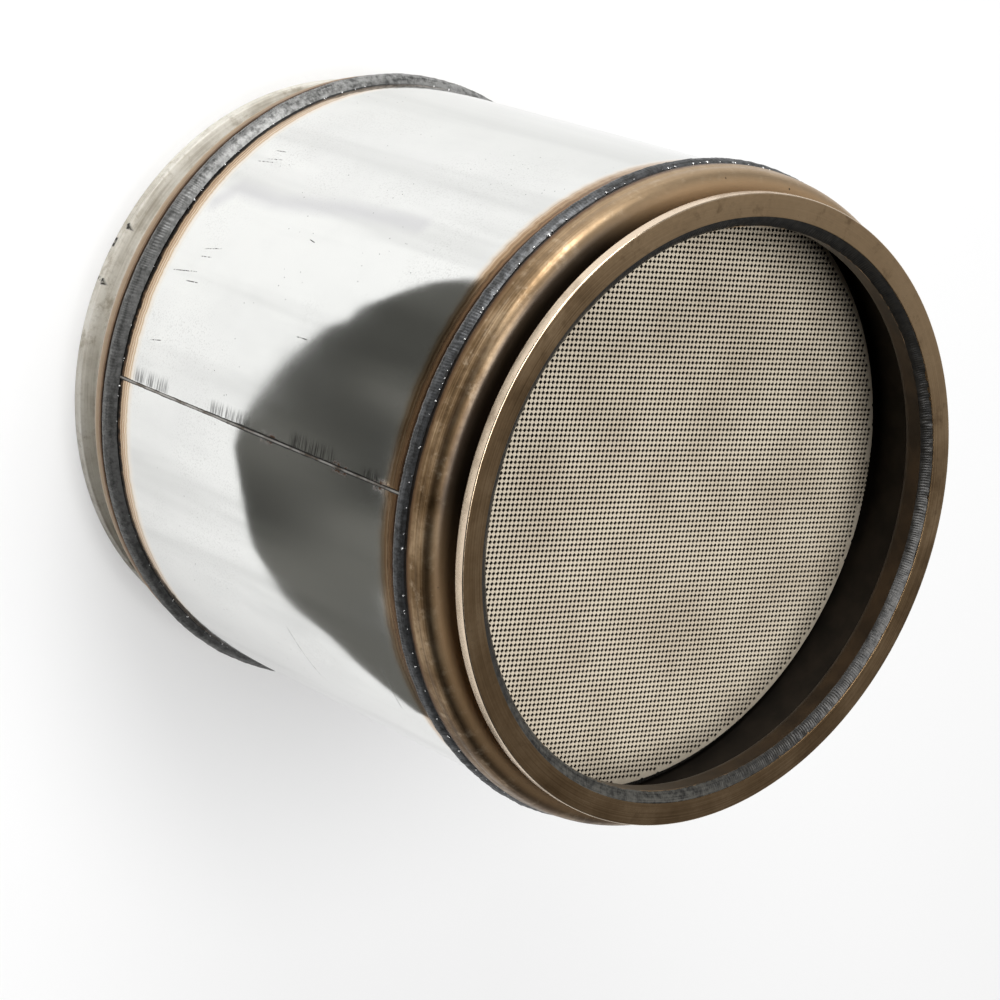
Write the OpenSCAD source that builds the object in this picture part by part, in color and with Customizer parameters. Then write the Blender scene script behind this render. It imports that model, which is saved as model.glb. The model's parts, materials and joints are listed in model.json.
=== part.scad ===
// Diesel particulate filter: a round stainless can that holds a ceramic wall-flow brick.
// A pressed cap closes each end down to a neck that carries a V-band flange ring.
// The can stands on its outlet flange, inlet end up.

/* [Can] */
// Distance between the two sealing faces
can_length = 321; // [290:1:360]
// Sheet thickness of the rolled shell
shell_wall = 1.5; // [1:0.1:2.5]
// Clearance between each end of the shell and the bend of the cap over it
shell_gap = 1.5; // [0.5:0.5:5]
// Width of the lengthwise seam weld
seam_w = 3.2; // [2:0.1:8]
// Height of the seam weld above the shell
seam_h = 0.6; // [0.2:0.1:1.5]
// Direction of the seam round the axis, in degrees from +X
seam_angle = 287; // [0:1:359]

/* [Ceramic brick] */
// Diameter of the brick
brick_d = 304.8; // [295:0.2:330]
// Length of the brick
brick_length = 203.2; // [150:0.2:220]
// Depth of the brick's face below the inlet sealing face
inlet_recess = 53.2; // [45:0.1:60]
// Pitch of the square channels, drawn coarser than the fired cells
cell_pitch = 12.7; // [10:0.1:25]
// Turn of the channel grid round the axis, in degrees
cell_turn = 63; // [0:1:89]
// Wall between neighbouring channels
cell_wall = 2.8; // [1:0.1:5]
// Depth of the plug that closes each channel at one end
plug_depth = 12; // [5:0.5:30]
// Least thickness of the solid skin round the channels
brick_skin = 3; // [1:0.1:8]

/* [Support mat] */
// Thickness of the mat between brick and shell
mat_t = 4.3; // [2:0.1:8]
// Length of the wire-mesh seal at each end of the mat
seal_length = 8; // [4:0.5:20]
// Distance from the brick's face to the seal
seal_inset = 4; // [1:0.5:15]

/* [V-band flange rings] */
// Diameter of the clamping lip
lip_d = 305.4; // [298:0.2:312]
// Thickness of the lip at its rim
lip_t = 5.8; // [3:0.1:7]
// Rounding of the lip's edges
rim_r = 0.8; // [0.2:0.1:1.2]
// Width of the flat sealing face, from its inner edge to the lip's edge
face_w = 11.1; // [9:0.1:13]
// Straight land between the sealing face and the bevel for the weld inside the ring
bevel_land = 0.5; // [0.2:0.1:1]
// Width and depth of that bevel
bevel = 3; // [1:0.1:4]
// Wall of the hub that sits on the neck
hub_wall = 4.7; // [2:0.1:6]
// Straight length of the hub past the root of the flank
hub_land = 0.4; // [0.2:0.1:6]
// Rake of the lip's clamping flank from square, in degrees
flank_rake = 22; // [10:1:25]
// Radius at the root of the flank
flank_root_r = 2.4; // [1:0.1:3]

/* [End caps] */
// Sheet thickness of the caps
cap_wall = 2.1; // [1.5:0.1:2.8]
// Clearance between the ring's hub and the bend of the inlet cap
ring_gap = 0.5; // [0.2:0.1:5]
// Extra length of neck at the outlet
outlet_reach = 10.2; // [5:0.1:17]
// Radius of the bend between neck and end wall, outside
neck_bend_r = 3; // [1:0.1:5]
// Radius of the bend between end wall and ridge, outside
ridge_bend_r = 8.5; // [3:0.1:12]
// Slope of the end wall between neck and skirt, measured along the axis
wall_rake = 2; // [0:0.1:4]
// Straight stretch between the ridge's bend and its crown
crown_land = 1; // [0.5:0.1:1.5]
// Rise of the ridge between its bend and its weld
crown = 0.6; // [0.1:0.1:2]
// Length of the inlet cap's skirt past the bend of its ridge
inlet_skirt = 13.4; // [8.8:0.2:23]
// Length of the outlet cap's skirt past the bend of its ridge
outlet_skirt = 9.4; // [8.8:0.2:17]
// Distance from the bevel inside the ring to the near edge of the neck
root_gap = 0.5; // [0.1:0.1:2]

/* [Welds] */
// Width of the weld between the inlet skirt and the shell
inlet_weld_w = 9.8; // [4:0.2:10]
// Width of the weld between the outlet skirt and the shell
outlet_weld_w = 10; // [4:0.2:10]
// Height of these welds above the straight line between their toes
weld_bulge = 2.95; // [1:0.05:4]
// Bulge of the welds inside the flange rings
ring_weld_bulge = 0.6; // [0.1:0.1:1.5]

/* [Hidden] */
$fn = 180;
// Steps in each bend and in each crown or bead curve
bend_steps = 6;
curve_steps = 10;
// Extra length of a cutting body past the face that it opens
past = 1;
brick_r = brick_d / 2;
brick_top = can_length - inlet_recess;
brick_bottom = brick_top - brick_length;
cell_open = cell_pitch - cell_wall;
cells_each_way = floor(brick_r / cell_pitch);
shell_in_r = brick_r + mat_t;
shell_r = shell_in_r + shell_wall;
ridge_r = shell_r + cap_wall;
lip_r = lip_d / 2;
face_in_r = lip_r - face_w;
bore_r = face_in_r - bevel;
hub_r = bore_r + hub_wall;
neck_in_r = bore_r - cap_wall;
// Distances from a sealing face to the end of its bevel and to the near edge of its neck
bevel_end = bevel_land + bevel;
neck_inset = bevel_end + root_gap;
// Centre of the flank's root, as (radius, distance from the sealing face)
flank_root_x = hub_r + flank_root_r;
flank_root_h = lip_t + (lip_r - rim_r - flank_root_x) * tan(flank_rake) + flank_root_r;
ring_length = flank_root_h + hub_land;
// Middle line of the caps' sheet: radii of its neck, skirt and two bends
neck_mid_r = bore_r - cap_wall / 2;
skirt_mid_r = shell_r + cap_wall / 2;
neck_bend_mid = neck_bend_r + cap_wall / 2;
ridge_bend_mid = ridge_bend_r - cap_wall / 2;
both_bends = neck_bend_mid + ridge_bend_mid;
// Step from neck to skirt, which way it goes, the sheet's turn at each bend and its length along the axis
step = abs(skirt_mid_r - neck_mid_r);
step_way = skirt_mid_r < neck_mid_r ? -1 : 1;
turn = min(atan2(step, wall_rake), acos(max(-1, 1 - step / both_bends)));
step_length = both_bends * sin(turn) + (step - both_bends * (1 - cos(turn))) / tan(turn);
// Distances from a sealing face to the start and the end of its cap's step, and to the end of its skirt
inlet_bend = ring_length + ring_gap;
outlet_bend = inlet_bend + outlet_reach;
inlet_ridge = inlet_bend + step_length;
outlet_ridge = outlet_bend + step_length;
inlet_edge = inlet_ridge + inlet_skirt;
outlet_edge = outlet_ridge + outlet_skirt;

// Points of an arc about c, from angle a to angle b
function arc(c, r, a, b) =
    [for (i = [0:bend_steps]) let (t = a + (b - a) * i / bend_steps) c + r * [cos(t), sin(t)]];

// Points from p to q on a sine curve that stands h off the straight line, away from the axis
function bulged(p, q, h) =
    [for (i = [0:curve_steps]) let (t = i / curve_steps) p + t * (q - p) + [h * sin(180 * t), 0]];

// The sections below are lists of (radius, distance from the sealing face).

// Flange ring: flat sealing face, square rim, raked clamping flank, a hub round the neck and a bevel inside
function ring_section() =
    concat(
        [[face_in_r, 0]],
        arc([lip_r - rim_r, rim_r], rim_r, -90, 0),
        arc([lip_r - rim_r, lip_t - rim_r], rim_r, 0, 90),
        arc([flank_root_x, flank_root_h], flank_root_r, 270, 180),
        [[hub_r, ring_length], [bore_r, ring_length], [bore_r, bevel_end], [face_in_r, bevel_land]]
    );

// One face of a cap's sheet, off its middle line, from the neck's edge to the end of the step
function cap_face(bend, ridge, off) =
    let (
        neck_bend = [neck_mid_r + step_way * neck_bend_mid, bend],
        ridge_bend = [skirt_mid_r - step_way * ridge_bend_mid, ridge],
        side = step_way * off
    )
    concat(
        [[neck_mid_r + off, neck_inset]],
        arc(neck_bend, neck_bend_mid - side, 90 + 90 * step_way, 90 + (90 - turn) * step_way),
        arc(ridge_bend, ridge_bend_mid + side, (90 - turn) * step_way - 90, 90 * step_way - 90)
    );

function backwards(points) = [for (i = [len(points) - 1:-1:0]) points[i]];

// End cap: neck, end wall, raised ridge and a skirt that slides over the shell
function cap_section(bend, ridge, edge, weld_w) =
    concat(
        cap_face(bend, ridge, cap_wall / 2),
        bulged([ridge_r, ridge + crown_land], [ridge_r, edge - weld_w / 2], crown),
        [[ridge_r, edge], [shell_r, edge]],
        backwards(cap_face(bend, ridge, -cap_wall / 2))
    );

// Bead that joins a skirt's end to the shell
function weld_section(edge, weld_w) =
    concat(
        [[shell_r, edge]],
        bulged([shell_r, edge + weld_w / 2], [ridge_r, edge - weld_w / 2], weld_bulge),
        [[ridge_r, edge]]
    );

// Bead that fills the bevel of the flange ring down to the neck's near edge
function ring_weld_section() =
    concat(
        [[bore_r, neck_inset], [bore_r, bevel_end]],
        bulged([face_in_r, bevel_land], [neck_in_r, neck_inset], -ring_weld_bulge)
    );

// Turns a child that is drawn at the outlet end over to the inlet end
module at_inlet() {
    translate([0, 0, can_length]) mirror([0, 0, 1]) children();
}

module turned(section) {
    rotate_extrude() polygon(section);
}

module tube(outer, inner, bottom, top) {
    translate([0, 0, bottom])
        difference() {
            cylinder(r = outer, h = top - bottom);
            translate([0, 0, -past]) cylinder(r = inner, h = top - bottom + 2 * past);
        }
}

// Square channels whose column and row numbers add up to an even (0) or an odd (1) number
module channels(parity, bottom, length) {
    span = [-cells_each_way:cells_each_way];
    half = [cell_open, cell_open] / 2;
    rotate([0, 0, cell_turn])
        for (i = span, j = span) {
            far_corner = [abs(i), abs(j)] * cell_pitch + half;
            if (abs(i + j) % 2 == parity && norm(far_corner) < brick_r - brick_skin)
                translate([i * cell_pitch - half[0], j * cell_pitch - half[1], bottom])
                    cube([cell_open, cell_open, length]);
        }
}

// Rolled sheet tube that ends inside each skirt, just short of the cap's bend
module shell() {
    shell_bottom = outlet_ridge + shell_gap;
    shell_top = can_length - inlet_ridge - shell_gap;
    color("gainsboro") tube(shell_r, shell_in_r, shell_bottom, shell_top);
}

// Flat bead along the joint of the rolled sheet, between the two round welds
module seam_weld() {
    seam_bottom = outlet_edge + outlet_weld_w / 2;
    seam_top = can_length - inlet_edge - inlet_weld_w / 2;
    color("dimgray")
        intersection() {
            tube(shell_r + seam_h, shell_r, seam_bottom, seam_top);
            rotate([0, 0, seam_angle])
                translate([shell_in_r, -seam_w / 2, seam_bottom])
                    cube([shell_wall + seam_h + past, seam_w, seam_top - seam_bottom]);
        }
}

// Wall-flow brick: half the channels open at the inlet face, the other half at the outlet face
module substrate() {
    color("wheat")
        translate([0, 0, brick_bottom])
            difference() {
                cylinder(r = brick_r, h = brick_length);
                channels(0, plug_depth, brick_length);
                channels(1, -plug_depth, brick_length);
            }
}

module support_mat() {
    seal_reach = seal_inset + seal_length;
    color("whitesmoke") tube(shell_in_r, brick_r, brick_bottom + seal_reach, brick_top - seal_reach);
}

module inlet_seal() {
    seal_top = brick_top - seal_inset;
    color("gray") tube(shell_in_r, brick_r, seal_top - seal_length, seal_top);
}

module outlet_seal() {
    seal_bottom = brick_bottom + seal_inset;
    color("gray") tube(shell_in_r, brick_r, seal_bottom, seal_bottom + seal_length);
}

module inlet_cap() {
    color("peru") at_inlet() turned(cap_section(inlet_bend, inlet_ridge, inlet_edge, inlet_weld_w));
}

module inlet_weld() {
    color("dimgray") at_inlet() turned(weld_section(inlet_edge, inlet_weld_w));
}

module inlet_flange() {
    color("peru") at_inlet() turned(ring_section());
}

module inlet_flange_weld() {
    color("dimgray") at_inlet() turned(ring_weld_section());
}

module outlet_cap() {
    color("silver") turned(cap_section(outlet_bend, outlet_ridge, outlet_edge, outlet_weld_w));
}

module outlet_weld() {
    color("dimgray") turned(weld_section(outlet_edge, outlet_weld_w));
}

module outlet_flange() {
    color("silver") turned(ring_section());
}

module outlet_flange_weld() {
    color("dimgray") turned(ring_weld_section());
}

shell();
seam_weld();
substrate();
support_mat();
inlet_seal();
outlet_seal();
inlet_cap();
inlet_weld();
inlet_flange();
inlet_flange_weld();
outlet_cap();
outlet_weld();
outlet_flange();
outlet_flange_weld();
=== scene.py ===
# %% [markdown]
# # A diesel particulate filter, dressed for a portrait
# The real thing is a stainless can with a ceramic honeycomb inside. It goes into an exhaust between
# two V-band flanges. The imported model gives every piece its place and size. This lesson gives each
# piece its surface: rolled sheet, heat-tinted caps, rippled welds and thousands of small cells.

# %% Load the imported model
import json
import math

import bpy
import numpy as np
from mathutils import Matrix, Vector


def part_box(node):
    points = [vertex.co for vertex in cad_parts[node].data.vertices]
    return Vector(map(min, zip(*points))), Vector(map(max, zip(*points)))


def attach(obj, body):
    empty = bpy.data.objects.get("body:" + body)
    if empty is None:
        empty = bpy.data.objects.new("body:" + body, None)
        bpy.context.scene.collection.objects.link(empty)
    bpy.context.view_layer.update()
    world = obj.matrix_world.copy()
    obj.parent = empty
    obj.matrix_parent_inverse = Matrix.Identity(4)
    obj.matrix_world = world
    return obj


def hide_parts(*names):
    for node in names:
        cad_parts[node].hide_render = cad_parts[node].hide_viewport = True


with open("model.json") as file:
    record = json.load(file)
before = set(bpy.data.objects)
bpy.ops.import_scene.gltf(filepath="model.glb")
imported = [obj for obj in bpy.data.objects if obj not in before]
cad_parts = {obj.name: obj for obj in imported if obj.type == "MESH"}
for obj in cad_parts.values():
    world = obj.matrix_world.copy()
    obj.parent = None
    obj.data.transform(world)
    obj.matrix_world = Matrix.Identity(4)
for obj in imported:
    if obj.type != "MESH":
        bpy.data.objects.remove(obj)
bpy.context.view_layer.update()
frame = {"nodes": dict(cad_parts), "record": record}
print("nodes:", ", ".join(sorted(frame["nodes"])))

# %% [markdown]
# ## Sizes that come from the frame
# Every round piece needs a radius and a height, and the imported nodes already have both. Reading them
# from the boxes keeps this script right when the part is packed again. Only sheet thicknesses and
# small radii can't be read from a box, so they are written here, in metres.

# %% Sizes
MM = 0.001


def reach(node):
    """A round node's (outer radius, lowest height, highest height)."""
    low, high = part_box(node)
    return high.x, low.z, high.z


lip_r, ring_low, can_length = reach("inlet_flange")
ring_length = can_length - ring_low
shell_r, shell_low, shell_high = reach("shell")
brick_r, brick_bottom, brick_top = reach("substrate")
shell_in_r = reach("support_mat")[0]
neck_inset = can_length - reach("inlet_cap")[2]
inlet_edge = can_length - reach("inlet_cap")[1]
outlet_edge = reach("outlet_cap")[2]
bores = {mount["name"]: mount for mount in frame["record"]["mounts"]}
neck_in_r = bores["inlet_bore"]["dims"]["r_mm"] * MM
inlet_weld_low, inlet_weld_high = reach("inlet_weld")[1:]
outlet_weld_low, outlet_weld_high = reach("outlet_weld")[1:]
seam_low, seam_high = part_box("seam_weld")
seam_angle = math.atan2(seam_low.y + seam_high.y, seam_low.x + seam_high.x)

cap_wall = 2.1 * MM
neck_bend_r = 3.0 * MM
ridge_bend_r = 8.5 * MM
crown = 0.6 * MM
crown_land = 1.0 * MM
lip_t = 5.8 * MM
rim_r = 0.8 * MM
hub_wall = 4.7 * MM
bevel_land = 0.5 * MM
bevel = 3.0 * MM
flank_root_r = 2.4 * MM
flank_rake = math.radians(22)
weld_bulge = 2.95 * MM
ring_weld_bulge = 0.6 * MM
seam_w = 2.3 * MM
seam_h = 0.5 * MM

bore_r = neck_in_r + cap_wall
face_in_r = bore_r + bevel
bevel_end = bevel_land + bevel
hub_r = bore_r + hub_wall
ridge_r = shell_r + cap_wall
print(f"can {2 * shell_r:.4f} m across, {can_length:.4f} m long, lip {2 * lip_r:.4f} m, brick {2 * brick_r:.4f} m")

# %% [markdown]
# ## Building surfaces with arrays
# Nearly everything here is turned round one axis, so one function can make most pieces: it carries
# an outline round the axis. The outline and the angles are whole arrays, so there is no loop over
# vertices, and a ripple or a dent is an array that is added before the turn.

# %% Mesh helpers
def signed_area(section):
    """Twice the area inside a closed outline, positive if it runs anticlockwise."""
    r, z = section[:, 0], section[:, 1]
    return np.sum(r * np.roll(z, -1) - np.roll(r, -1) * z)


def ring_faces(around, along):
    """Quads of a grid that is closed both ways: cell (i, j) joins points i, i+1 and j, j+1."""
    i, j = np.meshgrid(np.arange(around), np.arange(along), indexing="ij")
    i, j = i.ravel(), j.ravel()
    i2, j2 = (i + 1) % around, (j + 1) % along
    return np.stack([i * along + j, i2 * along + j, i2 * along + j2, i * along + j2], axis=1)


def new_piece(name, points, faces, node=None, crease=None):
    """A mesh object at the origin that rides on the root body; crease is the angle kept sharp, in degrees."""
    mesh = bpy.data.meshes.new(name)
    mesh.from_pydata(points, [], faces)
    mesh.update()
    if crease:
        mesh.shade_smooth()
        mesh.set_sharp_from_angle(angle=math.radians(crease))
    piece = bpy.data.objects.new(name, mesh)
    bpy.context.scene.collection.objects.link(piece)
    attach(piece, "root")
    if node:
        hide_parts(node)
    triangles = sum(len(face) - 2 for face in faces)
    print(f"{name}: {len(points)} points, {triangles} triangles")
    return piece


def turned(name, section, around, node=None, crease=40, lift=None, inner=None):
    """Turns a closed outline of (radius, height) round Z: a point goes to (r cos a, r sin a, z).
    lift, if given, is a function of the angles that returns what is added to every (r, z).
    inner, if given, says which points of the outline lie inside; faces between two of them get finish 1."""
    section = np.asarray(section, float)
    inner = np.zeros(len(section), bool) if inner is None else np.asarray(inner, bool)
    if signed_area(section) < 0:
        section, inner = section[::-1], inner[::-1]
    angle = np.arange(around) * 2 * np.pi / around
    grid = np.broadcast_to(section, (around, len(section), 2))
    if lift:
        grid = grid + lift(angle, section)
    r, z = grid[..., 0], grid[..., 1]
    points = np.stack([r * np.cos(angle)[:, None], r * np.sin(angle)[:, None], z], axis=-1)
    piece = new_piece(name, points.reshape(-1, 3), ring_faces(around, len(section)), node, crease)
    inner_face = np.tile(inner & np.roll(inner, -1), around)
    piece.data.polygons.foreach_set("material_index", inner_face.astype(np.int32))
    return piece


def arc(centre, radius, start, end, steps=14):
    """Points of an arc about a centre, from one angle in degrees to another."""
    t = np.radians(np.linspace(start, end, steps))
    return np.stack([centre[0] + radius * np.cos(t), centre[1] + radius * np.sin(t)], axis=1)


def bulged(start, end, height, steps=16):
    """Points from start to end that stand off the straight line by a sine, away from the axis."""
    t = np.linspace(0, 1, steps)[:, None]
    line = np.asarray(start) + t * (np.asarray(end) - np.asarray(start))
    return line + np.hstack([height * np.sin(np.pi * t), 0 * t])


def straight(start, end, steps=2):
    """Points on a straight line, both ends included."""
    return np.linspace(start, end, steps)


def at_inlet(section):
    """An outline of (radius, distance from the sealing face), set at the inlet end."""
    return np.stack([section[:, 0], can_length - section[:, 1]], axis=1)


def wander(angle, waves, size, seed):
    """A closed irregular curve: sines of 1 to so many waves round the can, with random phases and a falling size."""
    rng = np.random.default_rng(seed)
    wave = np.arange(1, waves + 1)
    part = rng.normal(size=waves) / np.sqrt(wave)
    phase = rng.uniform(0, 2 * np.pi, waves)
    curve = (part * np.sin(np.multiply.outer(angle, wave) + phase)).sum(axis=-1)
    return size * curve / np.sqrt((part ** 2).sum() / 2) / 2


# %% [markdown]
# ## Finishes as small networks
# A finish is a node network. A little class keeps it readable: each method adds one node, joins its
# inputs and hands back its output. All patterns are placed by Object coordinates, so they sit at a
# true size on the metal.

# %% Node helper
class Finish:
    """A material being built: every method adds a node and returns its output socket."""

    def __init__(self, name):
        self.material = bpy.data.materials.new(name)
        self.material.use_nodes = True
        self.tree = self.material.node_tree
        self.tree.nodes.clear()
        self.where = self.add("ShaderNodeTexCoord").outputs["Object"]

    def add(self, kind, inputs=None, **settings):
        """A node with some settings; inputs maps socket names or numbers to values or other sockets."""
        node = self.tree.nodes.new(kind)
        for key, value in settings.items():
            setattr(node, key, value)
        for key, value in (inputs or {}).items():
            if isinstance(value, bpy.types.NodeSocket):
                self.tree.links.new(value, node.inputs[key])
            else:
                node.inputs[key].default_value = value
        return node

    def math(self, operation, a, b=0.0):
        return self.add("ShaderNodeMath", {0: a, 1: b}, operation=operation).outputs[0]

    def stretched(self, scale):
        """Object coordinates scaled by three factors."""
        return self.add("ShaderNodeMapping", {"Vector": self.where, "Scale": scale}).outputs[0]

    def noise(self, scale, detail=3.0, vector=None, rough=0.55):
        inputs = {"Vector": vector or self.where, "Scale": scale, "Detail": detail, "Roughness": rough}
        return self.add("ShaderNodeTexNoise", inputs).outputs[0]

    def spots(self, scale):
        """Distance to the nearest of many random points."""
        return self.add("ShaderNodeTexVoronoi", {"Vector": self.where, "Scale": scale}).outputs["Distance"]

    def fade(self, value, low, high, out_low=0.0, out_high=1.0):
        """A smooth step of the value from low to high."""
        inputs = {0: value, 1: low, 2: high, 3: out_low, 4: out_high}
        return self.add("ShaderNodeMapRange", inputs, interpolation_type="SMOOTHSTEP").outputs[0]

    def ramp(self, value, stops):
        """Colours along a value: stops is a list of (place, colour)."""
        node = self.add("ShaderNodeValToRGB", {0: value})
        while len(node.color_ramp.elements) < len(stops):
            node.color_ramp.elements.new(1.0)
        for element, (place, colour) in zip(node.color_ramp.elements, stops):
            element.position = place
            element.color = (*colour, 1.0)
        return node.outputs[0]

    def mix(self, factor, a, b):
        """Colour a where the factor is 0 and colour b where it is 1."""
        inputs = {0: factor, 6: self.colour(a), 7: self.colour(b)}
        return self.add("ShaderNodeMix", inputs, data_type="RGBA").outputs[2]

    def colour(self, value):
        return value if isinstance(value, bpy.types.NodeSocket) else (*value, 1.0)

    def round_can(self):
        """(angle from +X, height) of the point being shaded."""
        part = self.add("ShaderNodeSeparateXYZ", {0: self.where}).outputs
        return self.math("ARCTAN2", part[1], part[0]), part[2]

    def side(self):
        """How far the point lies towards +X, in metres."""
        return self.add("ShaderNodeSeparateXYZ", {0: self.where}).outputs[0]

    def radius(self):
        """Distance from the axis."""
        flat = self.add("ShaderNodeVectorMath", {0: self.where, 1: (1, 1, 0)}, operation="MULTIPLY").outputs[0]
        return self.add("ShaderNodeVectorMath", {0: flat}, operation="LENGTH").outputs["Value"]

    def streaks(self, across, along):
        """Noise drawn out round the axis: so many changes per metre of the section and per metre round it."""
        part = self.add("ShaderNodeSeparateXYZ", {0: self.where}).outputs
        level = self.math("MULTIPLY", self.math("ADD", self.radius(), self.math("MULTIPLY", part[2], 1.37)), across)
        x, y = (self.math("MULTIPLY", part[axis], along) for axis in (0, 1))
        return self.noise(1.0, 3.0, self.add("ShaderNodeCombineXYZ", {0: x, 1: y, 2: level}).outputs[0])

    def bump(self, height, distance, strength=1.0):
        return self.add("ShaderNodeBump", {"Height": height, "Distance": distance, "Strength": strength}).outputs[0]

    def done(self, **inputs):
        """Closes the network with one Principled shader."""
        shader = self.add("ShaderNodeBsdfPrincipled", {key.replace("_", " "): value for key, value in inputs.items()})
        self.add("ShaderNodeOutputMaterial", {"Surface": shader.outputs[0]})
        return self.material


def dress(piece, *materials):
    """Puts finishes on a piece. Clearing the old ones also clears which face has which, so that is kept first."""
    faces = piece.data.polygons
    which = np.zeros(len(faces), np.int32)
    faces.foreach_get("material_index", which)
    piece.data.materials.clear()
    for material in materials:
        piece.data.materials.append(material)
    faces.foreach_set("material_index", which)


# %% [markdown]
# ## The camera
# The camera stands where the photograph's did. It was worked out from the round edges: the view
# leans 42.4 degrees off the can's axis, and the picture is turned so that the axis points right and
# a little down. Turning the camera keeps the can on its feet.

# %% Camera
VIEW_LEAN = math.radians(42.444)
PICTURE_TURN = math.radians(22.1216)
EYE = (0.03203, -1.13621, 1.41854)
LENS_MM = 121.515
SENSOR_MM = 36.0


def camera_axes():
    """The camera's right, up and back directions in the part's frame."""
    forward = np.array([0, math.sin(VIEW_LEAN), -math.cos(VIEW_LEAN)])
    lean = np.array([0, math.cos(VIEW_LEAN), math.sin(VIEW_LEAN)])
    side = np.array([1.0, 0, 0])
    right = math.cos(PICTURE_TURN) * lean - math.sin(PICTURE_TURN) * side
    down = math.sin(PICTURE_TURN) * lean + math.cos(PICTURE_TURN) * side
    return right, -down, -forward


def make_camera():
    data = bpy.data.cameras.new("portrait")
    data.lens, data.sensor_width, data.sensor_fit = LENS_MM, SENSOR_MM, "HORIZONTAL"
    data.clip_start, data.clip_end = 0.05, 60.0
    camera = bpy.data.objects.new("portrait", data)
    bpy.context.scene.collection.objects.link(camera)
    pose = np.eye(4)
    pose[:3, :3] = np.stack(camera_axes(), axis=1)
    pose[:3, 3] = EYE
    camera.matrix_world = Matrix(pose.tolist())
    bpy.context.scene.camera = camera
    return camera


make_camera()
print("camera at", EYE)

# %% [markdown]
# ## The rolled shell
# The shell is a sheet of bright stainless steel, rolled into a tube. No rolled sheet is perfect: it
# has shallow waves and creases that bend its reflections. A plain cylinder would mirror the room too
# well, so the outer face is a fine grid whose radius wanders by a few hundredths of a millimetre.

# %% Shell
SHELL_AROUND = 600
SHELL_ALONG = 120
# (angle in degrees, place along the shell, depth in millimetres, width, length) of each soft crease
SHELL_CREASES = ((240, 0.62, -0.25, 0.035, 0.5), (262, 0.35, -0.2, 0.02, 0.4), (318, 0.5, 0.2, 0.03, 0.6))


def shell_waves(angle, section):
    """Radius change of the shell: long waves round the can whose phase drifts along it, and three soft creases."""
    z = section[:, 1]
    outside = section[:, 0] > (shell_r + shell_in_r) / 2
    tall = (z - shell_low) / (shell_high - shell_low)
    calm = np.clip(np.minimum(tall, 1 - tall) / 0.12, 0, 1)
    drift = 1.3 * np.sin(2.4 * np.pi * tall)
    waves = sum(
        size * MM * np.sin(count * angle[:, None] + shift + drift * bend)
        for count, size, shift, bend in ((5, 0.10, 0.4, 1.0), (9, 0.06, 2.1, -1.4), (17, 0.022, 4.0, 2.2))
    )
    creases = sum(
        depth * MM * np.exp(-((np.sin((angle[:, None] - np.radians(at)) / 2) / width) ** 2 + ((tall - up) / high) ** 2))
        for at, up, depth, width, high in SHELL_CREASES
    )
    radius = (waves + creases) * calm * outside
    return np.stack([radius, np.zeros_like(radius)], axis=-1)


shell_section = np.vstack([
    straight((shell_r, shell_low), (shell_r, shell_high), SHELL_ALONG),
    straight((shell_in_r, shell_high), (shell_in_r, shell_low), 2),
])
shell_inner = shell_section[:, 0] < (shell_r + shell_in_r) / 2
shell = turned("rolled_shell", shell_section, SHELL_AROUND, "shell", lift=shell_waves, inner=shell_inner)

# %% [markdown]
# ## V-band flange rings
# Each end carries a machined ring with a flat sealing face and a raked flank for a V-band clamp. The
# outline has square-looking edges that are broken by a small radius, which is what catches the light.

# %% Flange rings
def ring_section():
    """Sealing face, rim, raked flank with its root, hub, bore and weld bevel, as (radius, distance from the face)."""
    root_x = hub_r + flank_root_r
    root_h = lip_t + (lip_r - rim_r - root_x) * math.tan(flank_rake) + flank_root_r
    return np.vstack([
        arc((face_in_r + bevel_land / 2, bevel_land / 2), bevel_land / 2, 180, 270, 6),
        arc((lip_r - rim_r, rim_r), rim_r, -90, 0, 10),
        arc((lip_r - rim_r, lip_t - rim_r), rim_r, 0, 90 - math.degrees(flank_rake), 10),
        arc((root_x, root_h), flank_root_r, 270 - math.degrees(flank_rake), 180, 14),
        [(hub_r, ring_length), (bore_r, ring_length), (bore_r, bevel_end), (face_in_r, bevel_land)],
    ])


RING_AROUND = 720
inlet_ring = turned("inlet_ring", at_inlet(ring_section()), RING_AROUND, "inlet_flange", crease=50)
outlet_ring = turned("outlet_ring", ring_section(), RING_AROUND, "outlet_flange", crease=50)

# %% [markdown]
# ## End caps
# A pressed cap steps from the neck inside the ring out to a skirt over the shell. It is one sheet of
# even thickness, so both its faces are drawn as offsets of one middle line with two round bends.

# %% End caps
def cap_section(bend, edge, weld_width):
    """Outline of a cap, and which of its points are inside: the outer face with a low crown, the skirt's
    end, and the inner face back to the start."""
    neck_mid, skirt_mid = bore_r - cap_wall / 2, shell_r + cap_wall / 2
    neck_turn, ridge_turn = neck_bend_r + cap_wall / 2, ridge_bend_r - cap_wall / 2
    ridge = bend + step_length
    lean = 180 - math.degrees(step_turn)

    def face(off):
        return np.vstack([
            straight((neck_mid + off, neck_inset), (neck_mid + off, bend), 4),
            arc((neck_mid + neck_turn, bend), neck_turn - off, 180, lean, 14),
            arc((skirt_mid - ridge_turn, ridge), ridge_turn + off, lean - 180, 0, 20),
        ])

    crest = bulged((ridge_r, ridge + crown_land), (ridge_r, edge - weld_width / 2), crown, 24)
    end = np.array([(ridge_r, edge), (shell_r, edge)])
    outer, back = np.vstack([face(cap_wall / 2), crest, end]), face(-cap_wall / 2)[::-1]
    return np.vstack([outer, back]), np.arange(len(outer) + len(back)) >= len(outer)


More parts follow.
